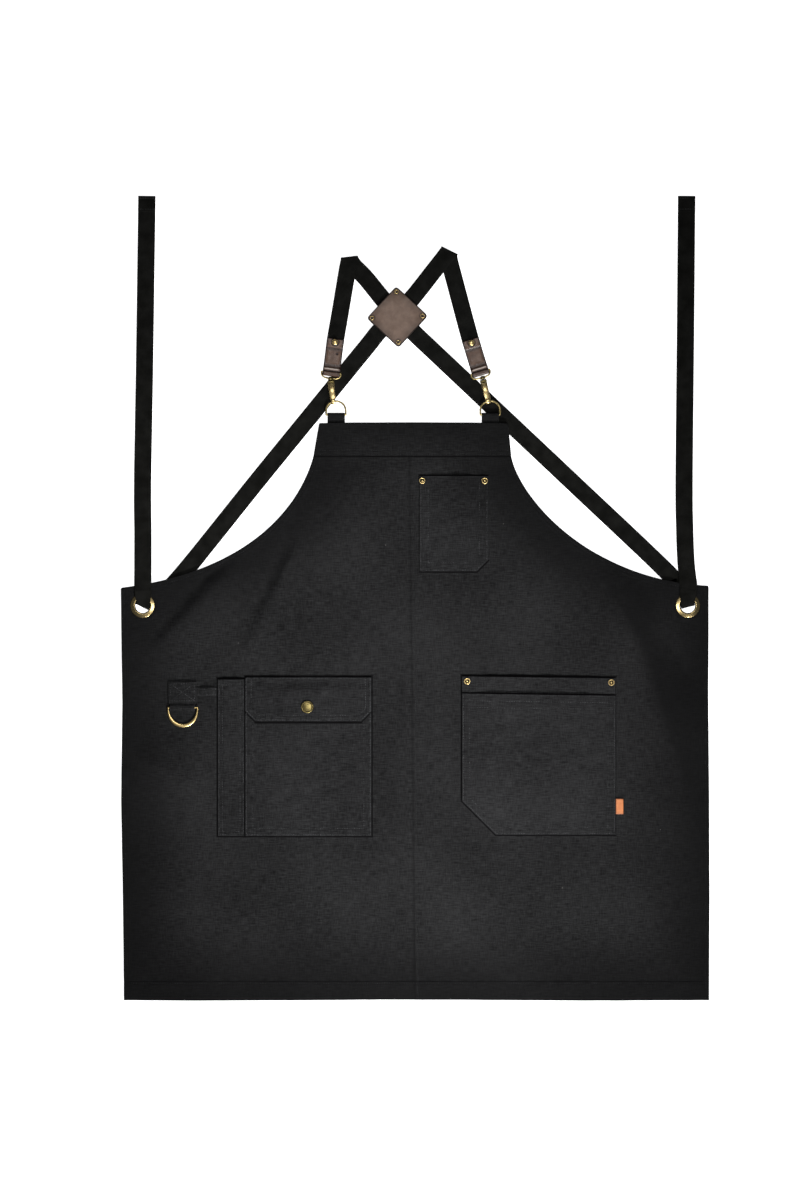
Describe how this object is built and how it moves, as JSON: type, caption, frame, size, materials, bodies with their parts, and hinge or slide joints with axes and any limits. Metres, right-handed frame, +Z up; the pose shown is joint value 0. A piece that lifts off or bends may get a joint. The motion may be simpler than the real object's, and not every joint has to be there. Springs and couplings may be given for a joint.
{
  "type": "bib apron",
  "caption": "Cross-back canvas work apron with patch and flap pockets, webbing straps on swivel hooks, a leather back patch and waist ties, laid flat.",
  "frame": {"origin": "on the floor under the middle of the apron's bounding box, as it lies on its back", "axes": "+Z up out of the apron's front, +Y from the hem to the bib and the tie ends, +X to the right as seen from the front"},
  "size_m": [0.8, 1.094, 0.0142],
  "materials": {
    "canvas": "black cotton canvas in plain weave, matt, with tonal stitching",
    "webbing": "black ribbed cotton webbing, matt",
    "brown_leather": "dark brown waxed leather, semi-gloss, with burnished edges",
    "tan_leather": "tan vegetable leather, satin",
    "brass": "antique brass, polished on the raised parts"
  },
  "bodies": {
    "apron": {"apron_body": "canvas", "bib_band": "canvas", "chest_pocket": "canvas", "pen_pocket": "canvas", "flap_pouch": "canvas", "pocket_flap": "canvas", "hand_pocket_back": "canvas", "hand_pocket_front": "canvas", "ring_tab": "canvas", "tool_loop": "canvas", "bib_tab_left": "canvas", "bib_tab_right": "canvas", "strap_left": "webbing", "strap_right": "webbing", "patch_front": "brown_leather", "patch_back": "brown_leather", "leather_tab_left": "brown_leather", "leather_tab_right": "brown_leather", "side_tag": "tan_leather", "grommet_left": "brass", "grommet_right": "brass", "chest_rivet_left": "brass", "chest_rivet_right": "brass", "hand_rivet_left": "brass", "hand_rivet_right": "brass", "tab_rivet_left": "brass", "tab_rivet_right": "brass", "patch_rivet_north": "brass", "patch_rivet_west": "brass", "patch_rivet_south": "brass", "patch_rivet_east": "brass", "snap_cap": "brass", "snap_stud": "brass", "bib_ring_left": "brass", "bib_ring_right": "brass", "hook_eye_left": "brass", "hook_eye_right": "brass", "hook_left": "brass", "hook_right": "brass"},
    "tool_ring": {"tool_ring": "brass"},
    "lever_left": {"hook_lever_left": "brass"},
    "lever_right": {"hook_lever_right": "brass"}
  },
  "joints": [
    {"name": "tool_ring_swing", "type": "hinge", "parent": "apron", "child": "tool_ring", "pos_m": [-0.3157, -0.1485, 0.0043], "axis": [-1, 0, 0], "range_deg": [0, 150]},
    {"name": "lever_left_press", "type": "hinge", "parent": "apron", "child": "lever_left", "pos_m": [-0.11419, 0.29116, 0.0085], "axis": [0.9931, 0.1172, 0], "range_deg": [0, 8], "stiffness_Nm_per_rad": 0.1, "springref_deg": -17.19},
    {"name": "lever_right_press", "type": "hinge", "parent": "apron", "child": "lever_right", "pos_m": [0.09324, 0.29222, 0.0085], "axis": [0.9741, 0.226, 0], "range_deg": [0, 8], "stiffness_Nm_per_rad": 0.1, "springref_deg": -17.19}
  ]
}
